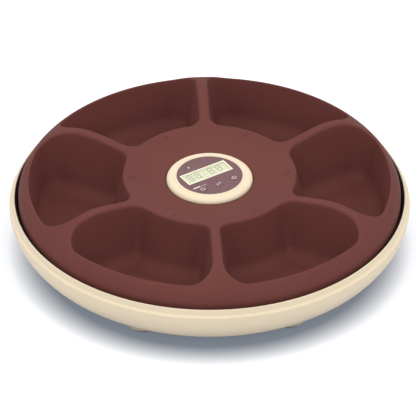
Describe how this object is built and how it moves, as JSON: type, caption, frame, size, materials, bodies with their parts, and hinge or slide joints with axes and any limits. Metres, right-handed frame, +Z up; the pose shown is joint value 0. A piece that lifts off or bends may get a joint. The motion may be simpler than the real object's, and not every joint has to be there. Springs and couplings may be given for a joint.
{
  "type": "automatic pet feeder",
  "caption": "Low round pet feeder: a bowl tray turned by a geared battery motor around a fixed control head with clock display and keys.",
  "frame": {"origin": "on the ground under the centre of the round base", "axes": "+Z up, -Y towards the person reading the display, +X to their right"},
  "size_m": [0.3254, 0.3254, 0.0807],
  "materials": {
    "cream_plastic": "satin moulded ABS",
    "maroon_plastic": "fine matt moulded PP",
    "black_plastic": "matt black moulding",
    "grey_plastic": "plain moulded ABS",
    "acetal": "natural acetal",
    "panel_face": "printed film",
    "clear_lens": "clear polished acrylic",
    "display_glass": "reflective display",
    "light_pipe": "frosted clear",
    "board": "green solder mask",
    "steel": "plated",
    "brass": "turned",
    "cell_sleeve": "printed sleeve without marks",
    "foot_rubber": "matt",
    "wire_cover": "PVC"
  },
  "bodies": {
    "base": {"base_shell": "cream_plastic", "rim_ring": "cream_plastic", "deck_pan": "black_plastic", "deck_liner": "black_plastic", "hub_tower": "grey_plastic", "glide_ring": "acetal", "control_housing": "grey_plastic", "bezel_ring": "cream_plastic", "panel_overlay": "panel_face", "lcd_window": "clear_lens", "lcd_module": "display_glass", "lcd_frame": "acetal", "tact_switches": "black_plastic", "status_led": "light_pipe", "control_pcb": "board", "pcb_chips": "black_plastic", "buzzer": "black_plastic", "index_sensor": "black_plastic", "gearbox_plate": "acetal", "gear_axles": "steel", "output_bush": "brass", "motor_can": "steel", "battery_box": "grey_plastic", "battery_1": "cell_sleeve", "battery_2": "cell_sleeve", "battery_3": "cell_sleeve", "battery_4": "cell_sleeve", "battery_springs": "steel", "battery_plates": "steel", "foot_1": "foot_rubber", "foot_2": "foot_rubber", "foot_3": "foot_rubber", "foot_4": "foot_rubber", "foot_5": "foot_rubber", "foot_6": "foot_rubber", "deck_screws": "steel", "tower_screws": "steel", "gearbox_screws": "steel", "pcb_screws": "steel", "battery_lead": "wire_cover", "motor_lead": "wire_cover"},
    "turntable": {"turntable": "acetal"},
    "tray": {"tray": "maroon_plastic"},
    "output_drive": {"output_gear": "acetal", "drive_pinion": "acetal"},
    "second_gear": {"gear_2": "acetal"},
    "first_gear": {"gear_1": "acetal"},
    "motor_rotor": {"motor_pinion": "brass", "motor_shaft": "steel"},
    "key_down": {"key_down": "panel_face"},
    "key_set": {"key_set": "panel_face"},
    "key_up": {"key_up": "panel_face"},
    "battery_door": {"battery_door": "cream_plastic"}
  },
  "joints": [
    {"name": "turntable_spin", "type": "hinge", "parent": "base", "child": "turntable", "pos_m": [0, 0, 0.062], "axis": [0, 0, 1], "continuous": true},
    {"name": "tray_lift", "type": "slide", "parent": "turntable", "child": "tray", "axis": [0, 0, 1], "range_m": [0, 0.06]},
    {"name": "output_spin", "type": "hinge", "parent": "base", "child": "output_drive", "pos_m": [0, 0.042, 0.05], "axis": [0, 0, 1], "continuous": true},
    {"name": "second_gear_spin", "type": "hinge", "parent": "base", "child": "second_gear", "pos_m": [-0.01955, 0.03489, 0.046], "axis": [0, 0, 1], "continuous": true},
    {"name": "first_gear_spin", "type": "hinge", "parent": "base", "child": "first_gear", "pos_m": [-0.03021, 0.01965, 0.05], "axis": [0, 0, 1], "continuous": true},
    {"name": "motor_spin", "type": "hinge", "parent": "base", "child": "motor_rotor", "pos_m": [-0.03317, 0.00291, 0.05], "axis": [0, 0, 1], "continuous": true},
    {"name": "key_down_press", "type": "slide", "parent": "base", "child": "key_down", "axis": [0, 0, -1], "range_m": [0, 0.0006], "stiffness_N_per_m": 400, "springref_m": -0.0004},
    {"name": "key_set_press", "type": "slide", "parent": "base", "child": "key_set", "axis": [0, 0, -1], "range_m": [0, 0.0006], "stiffness_N_per_m": 400, "springref_m": -0.0004},
    {"name": "key_up_press", "type": "slide", "parent": "base", "child": "key_up", "axis": [0, 0, -1], "range_m": [0, 0.0006], "stiffness_N_per_m": 400, "springref_m": -0.0004},
    {"name": "battery_door_hinge", "type": "hinge", "parent": "base", "child": "battery_door", "pos_m": [0, -0.0274, 0.005], "axis": [-1, 0, 0], "range_deg": [0, 95]}
  ],
  "couplings": [
    {"joint": "output_spin", "follows": "turntable_spin", "ratio": 8},
    {"joint": "second_gear_spin", "follows": "turntable_spin", "ratio": -26.667},
    {"joint": "first_gear_spin", "follows": "turntable_spin", "ratio": 111.11},
    {"joint": "motor_spin", "follows": "turntable_spin", "ratio": -518.52}
  ]
}
